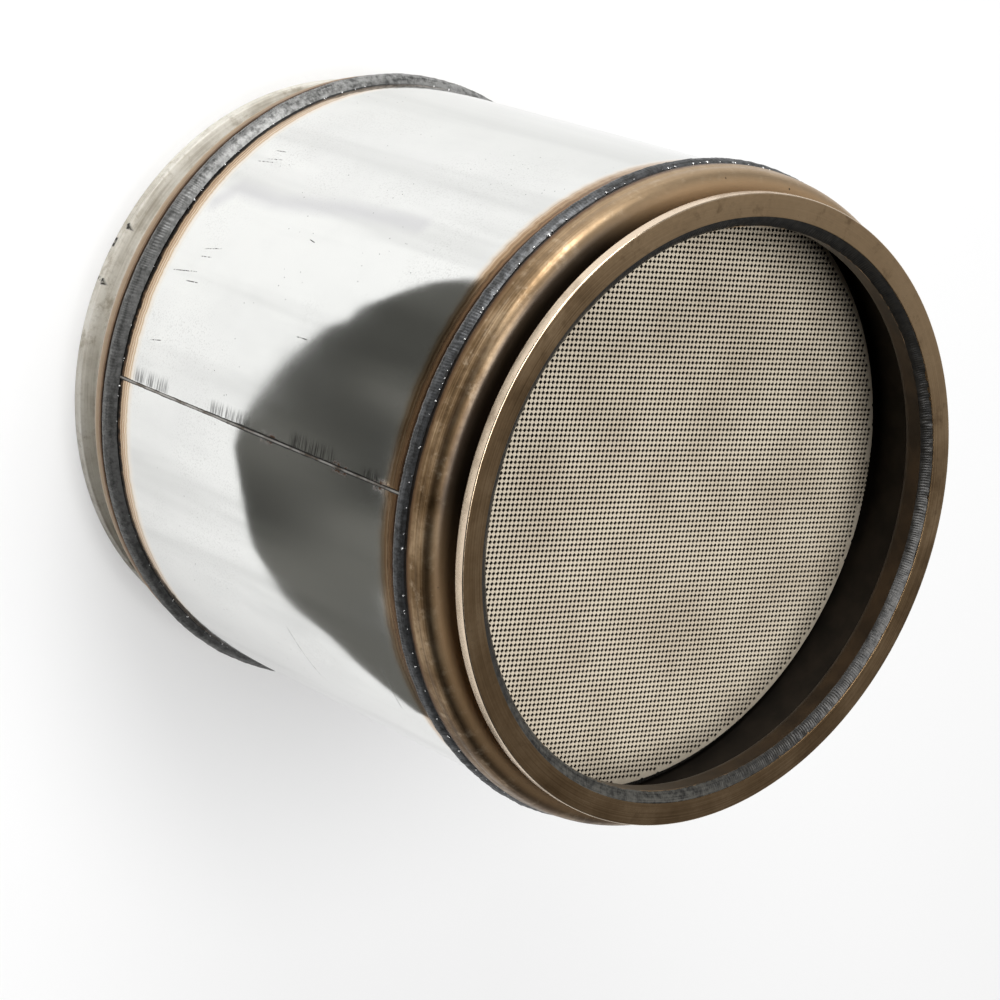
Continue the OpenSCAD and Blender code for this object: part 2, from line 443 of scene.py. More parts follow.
WALL_RAKE = 2.0 * MM
RING_GAP = 0.5 * MM
step = (shell_r + cap_wall / 2) - (bore_r - cap_wall / 2)
bends = neck_bend_r + ridge_bend_r
step_turn = math.atan2(step, WALL_RAKE)
step_length = bends * math.sin(step_turn) + (step - bends * (1 - math.cos(step_turn))) / math.tan(step_turn)
inlet_bend = ring_length + RING_GAP
outlet_bend = (bores["outlet_bore"]["pos_m"][2] - neck_inset) * 2 + neck_inset
inlet_weld_w = 2 * (inlet_edge - (can_length - inlet_weld_high))
outlet_weld_w = 2 * (outlet_weld_high - outlet_edge)
CAP_AROUND = 640
inlet_outline, inlet_inner = cap_section(inlet_bend, inlet_edge, inlet_weld_w)
outlet_outline, outlet_inner = cap_section(outlet_bend, outlet_edge, outlet_weld_w)
inlet_cap = turned("inlet_end_cap", at_inlet(inlet_outline), CAP_AROUND, "inlet_cap", inner=inlet_inner)
outlet_cap = turned("outlet_end_cap", outlet_outline, CAP_AROUND, "outlet_cap", inner=outlet_inner)
print(f"inlet weld {inlet_weld_w / MM:.1f} mm wide, outlet weld {outlet_weld_w / MM:.1f} mm")

# %% [markdown]
# ## Round weld beads
# A fillet weld closes each skirt onto the shell. Its bead has fine ripples, one for each small step
# of the arc, and its two toes wander. Both are added to the radius and height of a smooth outline.

# %% Round welds
WELD_AROUND = 3600
RIPPLE_PITCH = 1.5 * MM
RIPPLE_H = 0.10 * MM


def weld_section(edge, width):
    """Bead from the shell out to the ridge, as (radius, distance from the sealing face)."""
    bead = bulged((shell_r, edge + width / 2), (ridge_r, edge - width / 2), weld_bulge, 18)
    return np.vstack([[(shell_r, edge)], bead, [(ridge_r, edge)]])


def ripples(seed, inward=1, ripple=RIPPLE_H):
    """Crescent ripples, strongest on top of the bead, and toes that wander by a fifth of a millimetre."""

    def lift(angle, section):
        bead = len(section) - 2
        t = np.zeros(len(section))
        inside = slice(1, -1)
        t[inside] = np.linspace(0, 1, bead)
        crest = np.sin(np.pi * t)
        phase = angle[:, None] * shell_r / RIPPLE_PITCH * 2 * np.pi + wander(angle, 90, 7.0, seed)[:, None]
        wave = np.cos(phase + 2.6 * (2 * t - 1) ** 2)
        radius = ripple * crest * (wave + wander(angle, 260, 2.4, seed + 1)[:, None]) * inward
        toe = wander(angle, 220, 0.22 * MM, seed + 2)[:, None] * np.cos(np.pi * t) * (crest > 0)
        return np.stack([radius, toe], axis=-1)

    return lift


inlet_bead = turned("inlet_weld_bead", at_inlet(weld_section(inlet_edge, inlet_weld_w)), WELD_AROUND,
                    "inlet_weld", lift=ripples(11))
outlet_bead = turned("outlet_weld_bead", weld_section(outlet_edge, outlet_weld_w), WELD_AROUND,
                     "outlet_weld", lift=ripples(23))

# %% [markdown]
# ## Welds inside the rings
# Inside each mouth a bead joins the neck to the ring. It is wide and flat and its ripples are easy
# to see from the front, because it lies next to the sealing face.

# %% Ring welds
def ring_weld_section():
    """Bead from the bevel's edge down to the neck's edge, bulged towards the axis."""
    bead = bulged((face_in_r, bevel_land), (neck_in_r, neck_inset), -ring_weld_bulge, 16)
    return np.vstack([[(bore_r, bevel_end)], bead, [(bore_r, neck_inset)]])


inlet_ring_bead = turned("inlet_ring_bead", at_inlet(ring_weld_section()), WELD_AROUND,
                         "inlet_flange_weld", lift=ripples(37, -1, 0.9 * RIPPLE_H))
outlet_ring_bead = turned("outlet_ring_bead", ring_weld_section(), WELD_AROUND,
                          "outlet_flange_weld", lift=ripples(41, -1, 0.9 * RIPPLE_H))

# %% [markdown]
# ## The seam
# The rolled sheet is closed by a long flat weld between the two round ones. It is a strip that
# follows the shell: one parameter runs along the can and the other across the bead.

# %% Seam
SEAM_ALONG = 700
SEAM_ACROSS = 13


def seam_strip():
    """Closed strip: the top is two low ridges with a valley between, the underside lies on the shell."""
    s = np.linspace(-1, 1, SEAM_ACROSS)
    z = np.linspace(seam_low.z, seam_high.z, SEAM_ALONG)
    dome = (1 - s ** 2) * (0.62 + 0.38 * np.cos(2 * np.pi * s) ** 2)
    ripple = 0.5 + 0.5 * np.cos(2 * np.pi * z[:, None] / (1.3 * MM) + 2.0 * s ** 2)
    top = shell_r + seam_h * dome * (0.78 + 0.22 * ripple)
    drift = wander(np.linspace(0, 2 * np.pi, SEAM_ALONG), 60, 0.12 * MM, 5)[:, None]
    width = seam_w / 2 * (1 + wander(np.linspace(0, 2 * np.pi, SEAM_ALONG), 90, 0.1, 6))[:, None]
    angle = seam_angle + (s * width + drift) / shell_r
    under = np.full_like(top, shell_r - 0.3 * MM)
    r = np.concatenate([top, under[:, ::-1]], axis=1)
    angle = np.concatenate([angle, angle[:, ::-1]], axis=1)
    points = np.stack([r * np.cos(angle), r * np.sin(angle), np.broadcast_to(z[:, None], r.shape)], axis=-1)
    ring = 2 * SEAM_ACROSS
    sides = ring_faces(SEAM_ALONG, ring)[: (SEAM_ALONG - 1) * ring]
    first = np.arange(ring)
    ends = [first[::-1].tolist(), (first + (SEAM_ALONG - 1) * ring).tolist()]
    return points.reshape(-1, 3), sides[:, ::-1].tolist() + ends


seam_points, seam_faces = seam_strip()
seam = new_piece("seam_bead", seam_points, seam_faces, "seam_weld", crease=60)

# %% [markdown]
# ## The honeycomb
# The brick's face is a chessboard of square cells. Half of them are open and the others are closed
# by a plug, which is what forces the gas through the walls. There are about eleven thousand open
# cells, so each one has to be cheap: four walls, a bottom and one eight-sided plug beside it. The
# sheet of cells is then closed by a side and a back, so that each end is a solid disc.

# %% Honeycomb faces
HOLE_PITCH = 2.54 * MM
HOLE_SIDE = 1.66 * MM
HOLE_DEPTH = 5.0 * MM
HOLE_TURN = math.radians(17.6)
SKIN = 0.9 * MM
FACE_DEPTH = 7.0 * MM


def closed_behind(points, faces, start, lengths, depth):
    """Closes an open sheet: each edge that belongs to one face only is drawn back to the given depth, and
    a fan of triangles joins the drawn edges to a point on the axis."""
    last = np.cumsum(lengths) - 1
    step = np.arange(len(start)) + 1
    step[last] = last - lengths + 1
    end = start[step]
    count = len(points)
    free = ~np.isin(start * count + end, end * count + start)
    a, b = start[free], end[free]
    rim, back_a = np.unique(a, return_inverse=True)
    back_a, back_b = count + back_a, count + np.searchsorted(rim, b)
    axis = np.full(len(a), count + len(rim))
    sides = np.stack([b, a, back_a, back_b], axis=1)
    fan = np.stack([back_b, back_a, axis], axis=1)
    drawn = np.hstack([points[rim, :2], np.full((len(rim), 1), depth)])
    print(f"rim of {len(rim)} points, from {np.hypot(*points[rim, :2].T).min() / MM:.2f} mm")
    return np.vstack([points, drawn, [(0, 0, depth)]]), faces + sides.tolist() + fan.tolist()


def honeycomb(name, height, way, shift):
    """One end of the brick. Lattice point (i, j) has a square hole with corners along the lattice's own
    directions; the octagon between four holes is a plug. Points past the rim are pulled back to it."""
    count = int(brick_r / HOLE_PITCH) + 2
    index = np.arange(-count, count + 1)
    i, j = np.meshgrid(index, index, indexing="ij")
    size = len(index)
    corner = np.array([(1, 0), (0, 1), (-1, 0), (0, -1)]) * HOLE_SIDE / math.sqrt(2)
    middle = (np.stack([i, j], axis=-1) + shift) * HOLE_PITCH
    flat = (middle[:, :, None, :] + corner).reshape(-1, 2)
    turn = np.array([[math.cos(HOLE_TURN), -math.sin(HOLE_TURN)], [math.sin(HOLE_TURN), math.cos(HOLE_TURN)]])
    flat = flat @ turn.T
    away = np.hypot(flat[:, 0], flat[:, 1])
    past = away > brick_r
    flat = flat * np.where(past, brick_r / away, 1.0)[:, None]
    corners = np.arange(size * size * 4).reshape(size, size, 4)
    open_hole = (away.reshape(size, size, 4) < brick_r - SKIN).all(axis=2)
    inside = ~past.reshape(size, size, 4)

    a, b, c, d = corners[:-1, :-1], corners[1:, :-1], corners[1:, 1:], corners[:-1, 1:]
    plug = np.stack([a[..., 0], b[..., 2], b[..., 1], c[..., 3], c[..., 2], d[..., 0], d[..., 3], a[..., 1]], axis=-1)
    plug = plug[(~past[plug]).sum(axis=-1) >= 2]
    filled = corners[~open_hole & (inside.sum(axis=2) >= 2)]
    hole = corners[open_hole]
    low = len(flat) + np.arange(len(hole) * 4).reshape(-1, 4)
    walls = np.stack([hole, np.roll(hole, -1, 1), np.roll(low, -1, 1), low], axis=-1).reshape(-1, 4)

    top = np.hstack([flat, np.zeros((len(flat), 1))])
    points = np.vstack([top, np.hstack([flat[hole.ravel()], np.ones((hole.size, 1))])])
    faces = plug.tolist() + filled.tolist() + walls.tolist() + low.tolist()
    lengths = np.array([len(face) for face in faces])
    every_corner = np.concatenate([part.ravel() for part in (plug, filled, walls, low)])
    used, start = np.unique(every_corner, return_inverse=True)
    points = points[used]
    faces = [face.tolist() for face in np.split(start, np.cumsum(lengths)[:-1])]
    points, faces = closed_behind(points, faces, start, lengths, FACE_DEPTH / HOLE_DEPTH)
    depth = points[:, 2]
    points = np.stack([points[:, 0], points[:, 1], height - way * depth * HOLE_DEPTH], axis=1)
    piece = new_piece(name, points, [face if way > 0 else face[::-1] for face in faces])
    attribute = piece.data.attributes.new("depth", "FLOAT", "POINT")
    attribute.data.foreach_set("value", depth)
    print(f"{name}: {len(hole)} open cells")
    return piece


inlet_face = honeycomb("inlet_honeycomb", brick_top, 1, 0.0)
outlet_face = honeycomb("outlet_honeycomb", brick_bottom, -1, 0.5)

# %% [markdown]
# The side of the brick is a plain fired skin. It shows only through the gap beside the mat.

# %% Brick side
brick_section = np.vstack([
    straight((brick_r, brick_bottom + FACE_DEPTH), (brick_r, brick_top - FACE_DEPTH), 24),
    straight((brick_r - 2 * SKIN, brick_top - FACE_DEPTH), (brick_r - 2 * SKIN, brick_bottom + FACE_DEPTH), 2),
])
brick_side = turned("brick_skin", brick_section, 512, "substrate")

# %% [markdown]
# ## Spatter
# Arc welding throws small drops that freeze beside the bead. Each drop is one tiny ball, and all the
# drops of a weld are one mesh: the ball's points are added to every drop's middle in one step.

# %% Spatter
def ball(rows=6, columns=8):
    """Points and faces of a unit ball: two poles and rings of latitude between them."""
    up = np.linspace(0, np.pi, rows + 1)[1:-1]
    turn = np.arange(columns) * 2 * np.pi / columns
    rings = np.stack([np.outer(np.sin(up), np.cos(turn)), np.outer(np.sin(up), np.sin(turn)),
                      np.repeat(np.cos(up)[:, None], columns, 1)], axis=-1).reshape(-1, 3)
    points = np.vstack([rings, [(0, 0, 1), (0, 0, -1)]])
    k = np.arange(columns)
    k2 = (k + 1) % columns
    belt = np.stack([k, columns + k, columns + k2, k2], 1)
    belts = np.vstack([belt + row * columns for row in range(rows - 2)])
    top, bottom, last = len(rings), len(rings) + 1, (rows - 2) * columns
    top_tip = np.stack([np.full(columns, top), k, k2], 1)
    bottom_tip = np.stack([np.full(columns, bottom), last + k2, last + k], 1)
    return points, belts.tolist() + top_tip.tolist() + bottom_tip.tolist()


def spatter(name, centres, sizes, slot):
    """One mesh of balls at the given middles, each scaled by its own three sizes."""
    points, faces = ball()
    cloud = (points[None] * sizes[:, None, :] + centres[:, None, :]).reshape(-1, 3)
    start = np.arange(len(centres)) * len(points)
    all_faces = [[corner + int(first) for corner in face] for first in start for face in faces]
    return new_piece(name, cloud, all_faces, crease=60)


def drops_along(radius, height, spread, count, size, seed):
    """Middles and sizes of drops scattered along a circle."""
    rng = np.random.default_rng(seed)
    angle = rng.uniform(0, 2 * np.pi, count)
    z = height + rng.normal(size=count) * spread
    scale = size * rng.lognormal(0.0, 0.35, count)
    middle = np.stack([radius * np.cos(angle), radius * np.sin(angle), z], axis=1)
    return middle, np.repeat(scale[:, None], 3, 1)


near_ridge = can_length - inlet_edge + inlet_weld_w / 2 - 0.5 * MM
inlet_drops = drops_along(ridge_r + 0.5 * MM, near_ridge, 0.5 * MM, 150, 0.42 * MM, 3)
inlet_spatter = spatter("inlet_spatter", *inlet_drops, "weld_steel")
outlet_drops = drops_along(shell_r + 0.1 * MM, outlet_weld_high + 0.4 * MM, 0.5 * MM, 110, 0.36 * MM, 4)
outlet_spatter = spatter("outlet_spatter", *outlet_drops, "weld_steel")

# %% [markdown]
# ## Heat colours
# Steel that has been near a weld keeps bands of colour: black at the bead's toe, then brown, bronze and straw, and at
# last untinted metal. The black at the toe is partly black scale and partly painted shade of the corner where the bead
# meets the steel. The bands follow the distance from the toe. A little noise makes their edges ragged, and fine lines
# run along them.

# %% Heat helpers
def toe_distance(f, height, toe, way, ragged_mm=3.0):
    """Distance in millimetres from a weld's toe, with a ragged edge; way is 1 above the toe and -1 below it."""
    ragged = f.math("MULTIPLY", f.math("SUBTRACT", f.noise(170.0, 6.0, f.stretched((1, 1, 0.4)), 0.68), 0.5), ragged_mm)
    plain = f.math("MULTIPLY", f.math("SUBTRACT", height, toe), 1000.0 * way)
    return f.math("ADD", plain, ragged)


def heat_bands(f, away, length, stops, waver=0.5):
    """Colours along so many millimetres from the toe, broken up by fine lines round the can. waver is how far
    the bands give way to those lines, as a share of the length."""
    lines = f.streaks(1300.0, 4.0)
    bent = f.math("MULTIPLY", f.math("SUBTRACT", lines, 0.5), waver)
    bands = f.ramp(f.math("ADD", f.math("DIVIDE", away, length), bent), stops)
    near = f.fade(away, length, length * 0.3, 0.0, 0.55)
    return f.mix(f.math("MULTIPLY", f.fade(lines, 0.52, 0.62), near), bands, (0.30, 0.17, 0.085))


# %% [markdown]
# ## Steel of the shell
# Bright mill steel mirrors the floor, with faint smudges that make some places duller. Handling has
# left a few short scratches, and the seam has grinding marks along one side.

# %% Shell finish
SCRATCHES = (
    # (distance round the shell from the seam, height, length, tilt in degrees), in millimetres
    (-130, 74, 13, 100), (-133, 78, 12, 101), (-139, 76, 8, 97), (-76, 86, 14, 103),
    (-71, 84, 9, 98), (-61, 74, 21, 99), (-57, 83, 11, 95), (-24, 72, 10, 100),
    (-50, 180, 9, 92), (-96, 150, 6, 80), (118, 175, 40, 8), (110, 250, 34, -5),
)
GROUND = (
    # (lowest height, highest height, width) of the grinding marks beside the seam, in millimetres
    (56, 93, 10), (124, 162, 9), (190, 230, 10), (247, 269, 7),
)
# Points of the line of painted shade along a fold, in millimetres round the shell from the seam and up it.
CREASE_SHADE_LINE = ((-100, 65), (-111, 74), (-110, 106), (-118, 156), (-122, 208))
SEAM_BURNS = (176, 233, 265)


def stroke(f, across, height, middle, length, tilt, width=0.35):
    """1 on a short straight line of the unrolled shell and 0 beside it."""
    u = f.math("SUBTRACT", across, middle[0])
    v = f.math("SUBTRACT", height, middle[1])
    c, s = math.cos(math.radians(tilt)), math.sin(math.radians(tilt))
    along = f.math("ABSOLUTE", f.math("ADD", f.math("MULTIPLY", u, c), f.math("MULTIPLY", v, s)))
    beside = f.math("ABSOLUTE", f.math("SUBTRACT", f.math("MULTIPLY", v, c), f.math("MULTIPLY", u, s)))
    return f.math("MULTIPLY", f.fade(along, length / 2, length / 3), f.fade(beside, width, width / 3))


def ground_marks(f, across, tall):
    """Short cross lines on one side of the seam, in patches along it."""
    patch = 0.0
    for low, high, width in GROUND:
        side = f.math("MULTIPLY", f.fade(across, -width, -width / 3), f.fade(across, -0.6, -1.4))
        length = f.math("MULTIPLY", f.fade(tall, low, low + 6), f.fade(tall, high, high - 6))
        patch = f.math("MAXIMUM", patch, f.math("MULTIPLY", side, length))
    lines = f.fade(f.noise(1.0, 3.0, f.stretched((70, 70, 1500))), 0.40, 0.62)
    return f.math("MULTIPLY", patch, lines)


def crease_shade(f, across, tall):
    """Painted shade along a fold of the sheet: it fades out with the distance to the nearest stretch between two
    points.
    """
    fold = 0.0
    for (u0, v0), (u1, v1) in zip(CREASE_SHADE_LINE, CREASE_SHADE_LINE[1:]):
        length = math.hypot(u1 - u0, v1 - v0)
        c, s = (u1 - u0) / length, (v1 - v0) / length
        u, v = f.math("SUBTRACT", across, u0), f.math("SUBTRACT", tall, v0)
        along = f.math("ADD", f.math("MULTIPLY", u, c), f.math("MULTIPLY", v, s))
        beside = f.math("SUBTRACT", f.math("MULTIPLY", v, c), f.math("MULTIPLY", u, s))
        past = f.math("SUBTRACT", along, f.math("MINIMUM", f.math("MAXIMUM", along, 0.0), length))
        away = f.math("SQRT", f.math("ADD", f.math("MULTIPLY", past, past), f.math("MULTIPLY", beside, beside)))
        fold = f.math("MAXIMUM", fold, f.fade(away, 9.0, 0.0))
    return fold


def shell_finish():
    f = Finish("mill_steel")
    angle, height = f.round_can()
    tall = f.math("MULTIPLY", height, 1000.0)
    across = f.math("MULTIPLY", f.math("SUBTRACT", angle, seam_angle), shell_r / MM)
    smudge = f.noise(14.0, 5.0, f.stretched((1, 1, 0.6)))
    band = f.noise(1.0, 3.0, f.stretched((30, 30, 2.2)))
    grain = f.noise(1.0, 2.0, f.stretched((60, 60, 2600)))
    colour = f.mix(f.fade(smudge, 0.42, 0.75), (0.835, 0.84, 0.82), (0.75, 0.755, 0.74))
    colour = f.mix(f.fade(band, 0.46, 0.68, 0.0, 0.6), colour, (0.58, 0.585, 0.572))
    # Painted shade: the steel's colour turns greyer towards -X.
    colour = f.mix(f.fade(f.side(), -0.100, -0.155, 0.0, 0.75), colour, (0.58, 0.59, 0.565))
    dusty = f.fade(f.noise(16.0, 3.0), 0.46, 0.64, 0.0, 0.4)
    dust = f.math("MULTIPLY", f.fade(f.noise(1100.0, 3.0), 0.50, 0.68), dusty)
    colour = f.mix(dust, colour, (0.55, 0.55, 0.53))
    # Painted shade along a fold of the sheet.
    colour = f.mix(f.math("MULTIPLY", crease_shade(f, across, tall), 0.34), colour, (0.47, 0.46, 0.50))
    colour = f.mix(f.math("MULTIPLY", ground_marks(f, across, tall), 0.85), colour, (0.14, 0.14, 0.14))
    scratch = 0.0
    for place, up, length, tilt in SCRATCHES:
        scratch = f.math("MAXIMUM", scratch, stroke(f, across, tall, (place, up), length, tilt))
    scratch = f.math("MULTIPLY", scratch, f.fade(f.noise(700.0, 3.0), 0.35, 0.6))
    colour = f.mix(scratch, colour, (0.05, 0.05, 0.05))
    specks = f.math("MULTIPLY", f.fade(f.spots(240.0), 0.085, 0.05), f.fade(f.noise(24.0, 2.0), 0.53, 0.60))
    colour = f.mix(specks, colour, (0.06, 0.055, 0.05))
    scorch = 0.0
    for place in SEAM_BURNS:
        scorch = f.math("MAXIMUM", scorch, stroke(f, across, tall, (0.0, place), 14.0, 90.0, 4.0))
    scorch = f.math("MULTIPLY", scorch, f.fade(f.noise(260.0, 3.0), 0.36, 0.58))
    colour = f.mix(scorch, colour, (0.10, 0.048, 0.02))

    # In both ramps below, the first stops, near black at the toe, are partly black scale and partly painted shade of
    # the corner.
    inlet_away = toe_distance(f, height, inlet_weld_low, -1, 3.2)
    inlet_tint = heat_bands(f, inlet_away, 15.0, [
        (0.0, (0.020, 0.012, 0.007)), (0.12, (0.07, 0.036, 0.017)), (0.24, (0.24, 0.145, 0.075)),
        (0.30, (0.15, 0.085, 0.042)), (0.40, (0.46, 0.32, 0.19)), (0.46, (0.31, 0.19, 0.10)),
        (0.58, (0.66, 0.51, 0.36)), (0.64, (0.50, 0.36, 0.23)), (0.76, (0.76, 0.66, 0.54)),
        (1.0, (0.82, 0.79, 0.74))], 0.3)
    colour = f.mix(f.fade(inlet_away, 8.0, 15.0), inlet_tint, colour)
    outlet_away = toe_distance(f, height, outlet_weld_high, 1, 2.6)
    outlet_tint = heat_bands(f, outlet_away, 15.0, [
        (0.0, (0.012, 0.010, 0.008)), (0.15, (0.016, 0.012, 0.009)), (0.20, (0.13, 0.075, 0.038)),
        (0.26, (0.56, 0.43, 0.30)), (0.31, (0.30, 0.175, 0.085)), (0.38, (0.72, 0.60, 0.46)),
        (0.43, (0.42, 0.26, 0.135)), (0.50, (0.78, 0.68, 0.55)), (0.56, (0.56, 0.40, 0.25)),
        (0.64, (0.81, 0.74, 0.64)), (1.0, (0.84, 0.82, 0.78))], 0.12)
    colour = f.mix(f.fade(outlet_away, 8.0, 15.0), outlet_tint, colour)
    # Partly black scale and partly painted shade: a ragged near-black line at the outlet weld's toe, in the corner
    # where the bead meets the shell.
    toe_scale_and_shade = f.fade(toe_distance(f, height, outlet_weld_high, 1, 7.5), 2.6, 1.6)
    colour = f.mix(toe_scale_and_shade, colour, (0.012, 0.010, 0.008))
    heated = f.math("MAXIMUM", f.fade(inlet_away, 9.0, 2.0), f.fade(outlet_away, 6.0, 1.5))
    rough = f.math("ADD", f.fade(smudge, 0.40, 0.80, 0.055, 0.14), f.math("MULTIPLY", heated, 0.20))
    rough = f.math("ADD", rough, f.math("MULTIPLY", f.math("MAXIMUM", scratch, scorch), 0.3))
    return f.done(Base_Color=colour, Metallic=1.0, Roughness=rough, Normal=f.bump(grain, 0.00001, 0.25))


def shaded_inside_finish(name, colour, roughness):
    """The inside of the can: mottled brown steel, painted dark as painted shade of the deep chamber."""
    f = Finish(name)
    cloud = f.noise(60.0, 5.0)
    shade = f.mix(f.fade(cloud, 0.3, 0.7), colour, tuple(part * 0.45 for part in colour))
    return f.done(Base_Color=shade, Metallic=0.6, Roughness=roughness)


# The shell's inside gets painted shade.
dress(shell, shell_finish(), shaded_inside_finish("shell_inside", (0.030, 0.022, 0.015), 0.6))
print("shell finish done")

# %% [markdown]
# ## Heat-tinted bronze and pale satin
# The inlet cap and ring have been hot: their steel has turned bronze. The outlet ones stayed pale
# with grey stains. Both are satin with fine turning lines, so one network serves for all of them, and
# a cap also gets the heat colours of the weld beside it.

# %% Cap and ring finishes
def satin_finish(name, tones, roughness, metallic=1.0, burn=None, groove_shade=None, worn=None, chips=(),
                 sides=None, scuffs=None, pits=0.0):
    """tones are a light, a middle and a dark colour.
    burn, if given, is (toe height, way, length in mm, stops) of the heat colours beside a weld.
    groove_shade is (height where the painted shade starts, height where it is full, colour of the painted shade in the
    dark part of a groove, colour of the painted light in its open parts towards +X and -X); the metal there is also
    made less metallic.
    worn is (radius past which the edge is rubbed bright, colour).
    chips are (distance round the lip from the seam, height, length, tilt) of dark nicks, in millimetres.
    sides is (how much of the dark tone is added towards +X as painted shade, how much of the light tone towards -X as
    painted light).
    scuffs is (strength, colour, patches per metre) of rubbed or stained patches.
    pits is the strength of small dark holes."""
    f = Finish(name)
    light, mid, dark = tones
    angle, height = f.round_can()
    cloud = f.noise(30.0, 6.0, rough=0.62)
    fine = f.noise(500.0, 3.0)
    turning = f.streaks(1500.0, 14.0)
    tone = f.math("ADD", f.math("MULTIPLY", cloud, 0.66), f.math("MULTIPLY", turning, 0.34))
    colour = f.ramp(tone, [(0.36, dark), (0.5, mid), (0.64, light)])
    colour = f.mix(f.fade(fine, 0.5, 0.85, 0.0, 0.4), colour, dark)
    rough = f.math("ADD", f.fade(tone, 0.35, 0.65, roughness + 0.10, roughness), f.fade(fine, 0.3, 0.8, 0.0, 0.08))
    # Painted light and shade: darker towards +X and lighter towards -X.
    if sides:
        colour = f.mix(f.fade(f.side(), -0.10, 0.13, 0.0, sides[0]), colour, dark)
        colour = f.mix(f.fade(f.side(), -0.04, -0.14, 0.0, sides[1]), colour, light)
    if scuffs:
        patch = f.fade(f.noise(scuffs[2], 6.0, rough=0.7), 0.52, 0.70, 0.0, scuffs[0])
        colour = f.mix(patch, colour, scuffs[1])
    if burn:
        toe, way, length, stops = burn
        away = toe_distance(f, height, toe, way, 2.4)
        colour = f.mix(f.fade(away, length * 0.6, length), heat_bands(f, away, length, stops), colour)
    # Painted shade in the groove, with painted light on its open sides towards +X and -X; the metal there is made less
    # metallic.
    if groove_shade:
        start, end, shade_colour, lit = groove_shade
        open_side_light = f.math("MAXIMUM", f.fade(f.side(), 0.03, 0.11), f.fade(f.side(), -0.085, -0.135))
        colour = f.mix(f.fade(height, start, end), colour, f.mix(open_side_light, shade_colour, lit))
        metallic = f.fade(height, start, end, metallic, 0.35)
    if pits:
        pitted = f.fade(f.noise(20.0, 2.0), 0.50, 0.58, 0.0, pits)
        hole = f.math("MULTIPLY", f.fade(f.spots(110.0), 0.075, 0.045), pitted)
        colour = f.mix(hole, colour, (0.02, 0.012, 0.006))
    if worn:
        edge, shade = worn
        rubbed = f.math("MULTIPLY", f.fade(f.radius(), edge, edge + 0.5 * MM), f.fade(cloud, 0.28, 0.52, 0.35, 1.0))
        colour = f.mix(rubbed, colour, shade)
        rough = f.math("SUBTRACT", rough, f.math("MULTIPLY", rubbed, 0.10))
    across = f.math("MULTIPLY", f.math("SUBTRACT", angle, seam_angle), lip_r / MM)
    for place, up, length, tilt in chips:
        nick = stroke(f, across, f.math("MULTIPLY", height, 1000.0), (place, up), length, tilt, 1.5)
        colour = f.mix(f.math("MULTIPLY", nick, f.fade(fine, 0.25, 0.5)), colour, (0.03, 0.027, 0.022))
    bumps = f.math("ADD", f.math("MULTIPLY", turning, 0.6), fine)
    return f.done(Base_Color=colour, Metallic=metallic, Roughness=rough, Normal=f.bump(bumps, 0.00003, 0.45))


BRONZE = (0.47, 0.33, 0.195), (0.27, 0.18, 0.098), (0.095, 0.058, 0.028)
BURNT = (0.46, 0.33, 0.20), (0.215, 0.138, 0.072), (0.070, 0.041, 0.018)
PALE = (0.82, 0.80, 0.74), (0.74, 0.71, 0.64), (0.47, 0.43, 0.36)
# Colours of the painted shade deep in a groove and of the painted light on its open sides.
GROOVE_SHADE_AND_LIGHT = (0.016, 0.009, 0.004), (0.27, 0.17, 0.085)
flank_top = can_length - lip_t
wall_top = can_length - inlet_bend - neck_bend_r
# Its first stops, near black at the weld's toe, are partly black scale and partly painted shade of the corner.
INLET_CAP_BURN = ((0.0, (0.012, 0.009, 0.006)), (0.32, (0.025, 0.015, 0.008)),
                  (0.55, (0.16, 0.09, 0.045)), (1.0, (0.23, 0.15, 0.08)))
OUTLET_CAP_BURN = ((0.0, (0.05, 0.03, 0.018)), (0.12, (0.22, 0.14, 0.085)), (0.45, (0.40, 0.30, 0.20)),
                   (0.75, (0.46, 0.37, 0.28)), (1.0, (0.60, 0.56, 0.49)))
bronze_ring = satin_finish("bronze_ring", BRONZE, 0.26, groove_shade=(flank_top + 0.2 * MM, flank_top - 0.6 * MM, *GROOVE_SHADE_AND_LIGHT),
                           worn=(lip_r - 0.7 * MM, (0.80, 0.65, 0.49)), sides=(0.5, 0.65),
                           scuffs=(0.5, (0.13, 0.082, 0.042), 110.0))
bronze_cap = satin_finish("bronze_cap", BURNT, 0.31, burn=(inlet_weld_high, 1, 6.0, INLET_CAP_BURN),
                          groove_shade=(wall_top - 4.0 * MM, wall_top - 0.4 * MM, *GROOVE_SHADE_AND_LIGHT), sides=(0.25, 0.80),
                          scuffs=(0.42, (0.58, 0.46, 0.32), 150.0), pits=0.9)
LIP_CHIPS = ((-71, 5, 4, 30), (-61, 1.5, 6, 0), (-40, 5, 4, 20), (-41, 2, 3, 90))
pale_ring = satin_finish("pale_ring", PALE, 0.50, metallic=0.30, chips=LIP_CHIPS,
                         scuffs=(0.75, (0.36, 0.31, 0.23), 70.0))
pale_cap = satin_finish("pale_cap", PALE, 0.44, metallic=0.7, burn=(outlet_weld_low, -1, 11.0, OUTLET_CAP_BURN))
# Painted shade for the insides of the caps.
inside_shade_brown = shaded_inside_finish("cap_inside", (0.052, 0.031, 0.015), 0.42)
dress(inlet_ring, bronze_ring)
dress(inlet_cap, bronze_cap, inside_shade_brown)
dress(outlet_ring, pale_ring)
dress(outlet_cap, pale_cap, inside_shade_brown)
print("cap and ring finishes done")

# %% [markdown]
# ## Weld metal
# The beads are slate grey with a dull glint on the ripples. A lighter grey comes through where the scale is thin, and
# on one side of the outlet and ring beads a lighter grey is painted light. The seam has a thin brighter crest, where it
# was ground.

